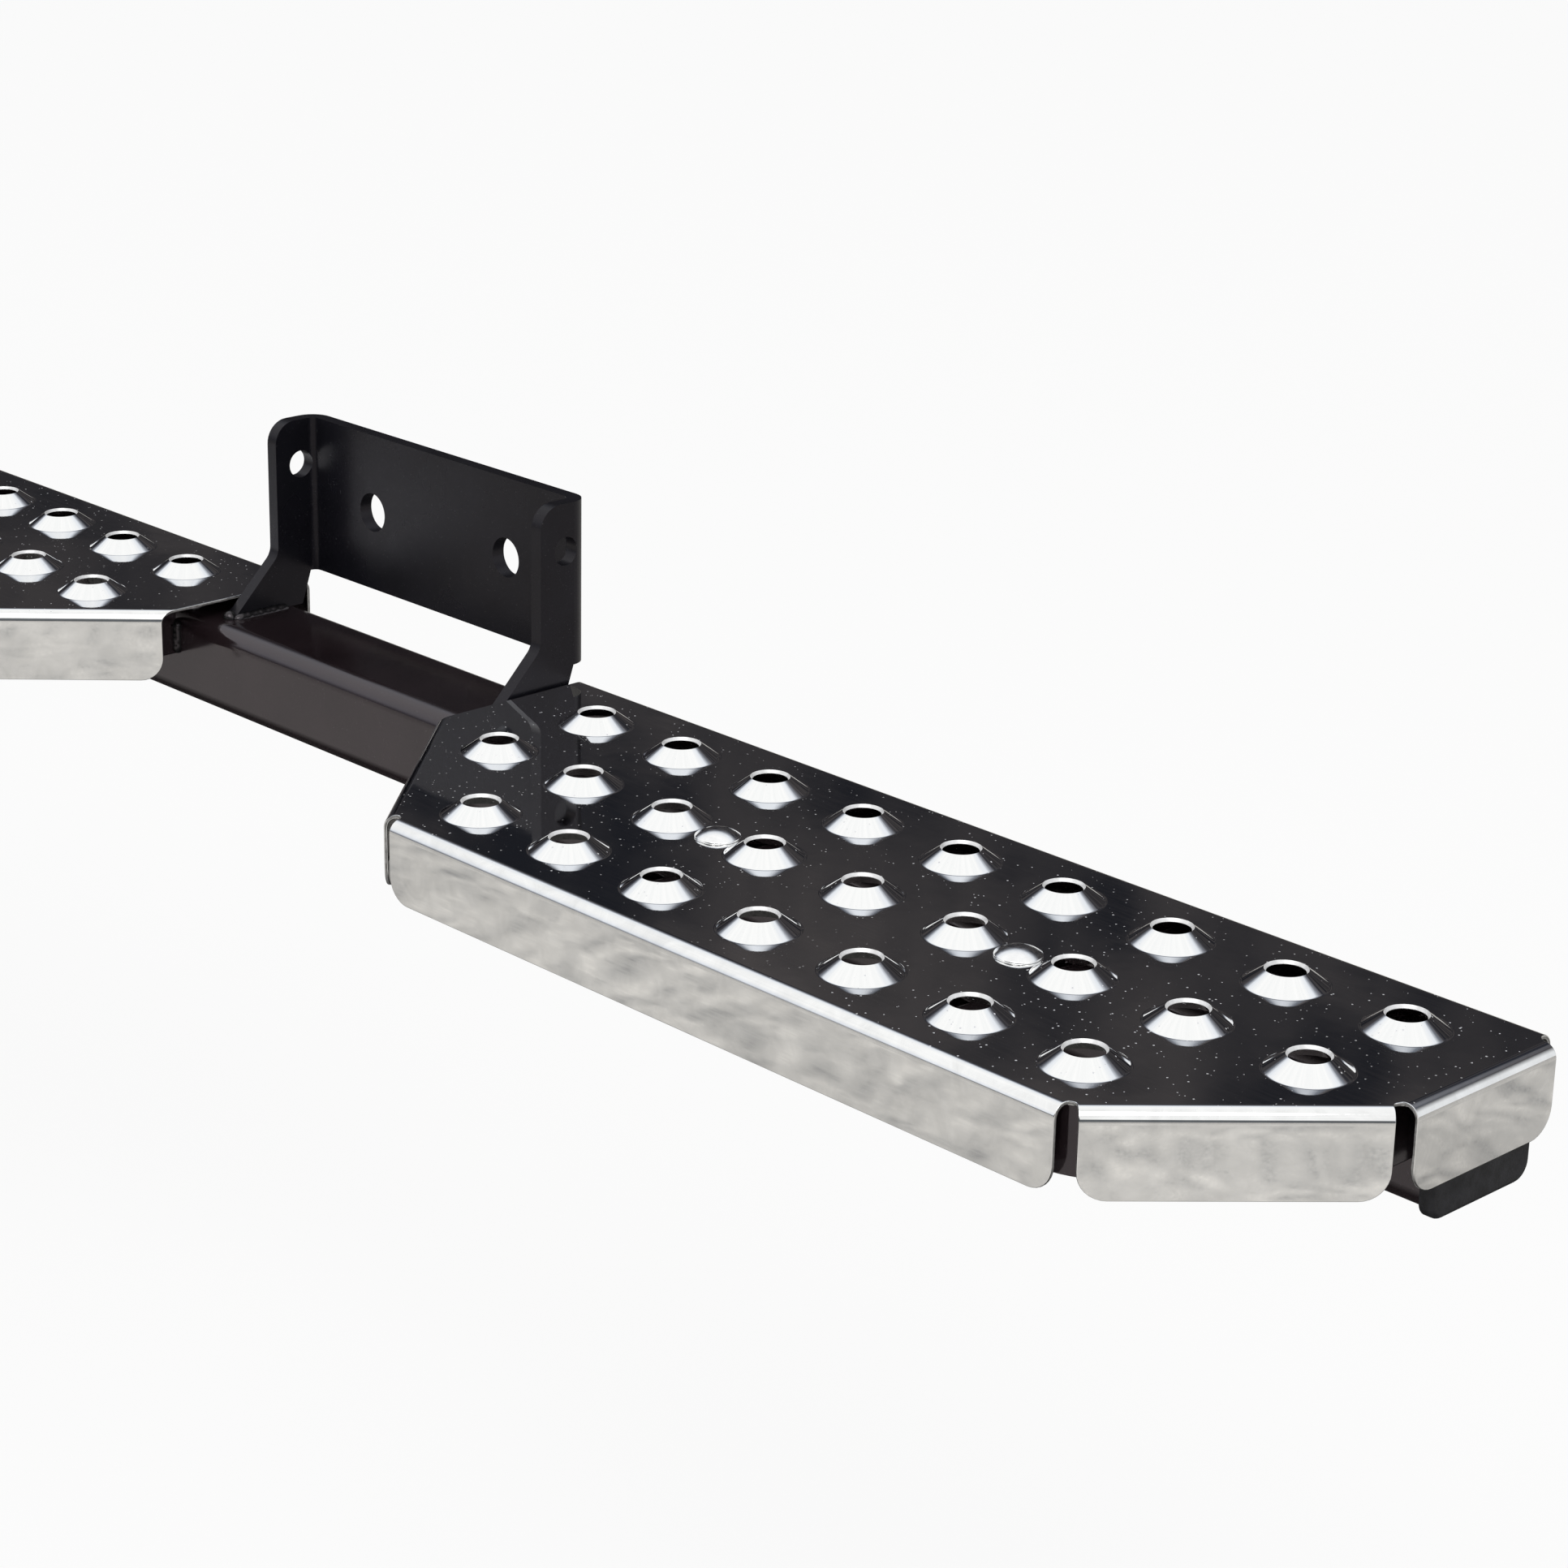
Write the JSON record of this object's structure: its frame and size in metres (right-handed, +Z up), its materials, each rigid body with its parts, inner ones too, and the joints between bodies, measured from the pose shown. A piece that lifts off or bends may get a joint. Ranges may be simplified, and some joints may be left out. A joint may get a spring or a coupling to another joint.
{
  "type": "hitch step",
  "caption": "Polished folded tread plates with pressed grip holes either side of a black tube frame, whose folded bracket bolts behind a flanged tow ball.",
  "frame": {"origin": "middle of the two bolt holes, on the bracket face that meets the towbar", "axes": "+Y out of that face towards the vehicle, +Z up, +X along the tube"},
  "size_m": [1.162, 0.169, 0.125],
  "materials": {
    "polished_steel": "mirror-polished stainless sheet",
    "black_coat": "gloss black powder coat",
    "dark_coat": "satin dark grey-black powder coat",
    "black_plastic": "fine-grained matte black",
    "bright_fastener": "bright stainless"
  },
  "bodies": {
    "root": {"main_tube": "black_coat", "end_cap_left": "black_plastic", "end_cap_right": "black_plastic", "mounting_bracket": "dark_coat", "tread_left": "polished_steel", "tread_right": "polished_steel", "hoop_left": "black_coat", "hoop_right": "black_coat", "strap_left_inner": "black_coat", "screw_left_inner": "bright_fastener", "washer_left_inner": "bright_fastener", "nut_left_inner": "bright_fastener", "strap_left_outer": "black_coat", "screw_left_outer": "bright_fastener", "washer_left_outer": "bright_fastener", "nut_left_outer": "bright_fastener", "strap_right_inner": "black_coat", "screw_right_inner": "bright_fastener", "washer_right_inner": "bright_fastener", "nut_right_inner": "bright_fastener", "strap_right_outer": "black_coat", "screw_right_outer": "bright_fastener", "washer_right_outer": "bright_fastener", "nut_right_outer": "bright_fastener"}
  },
  "joints": []
}
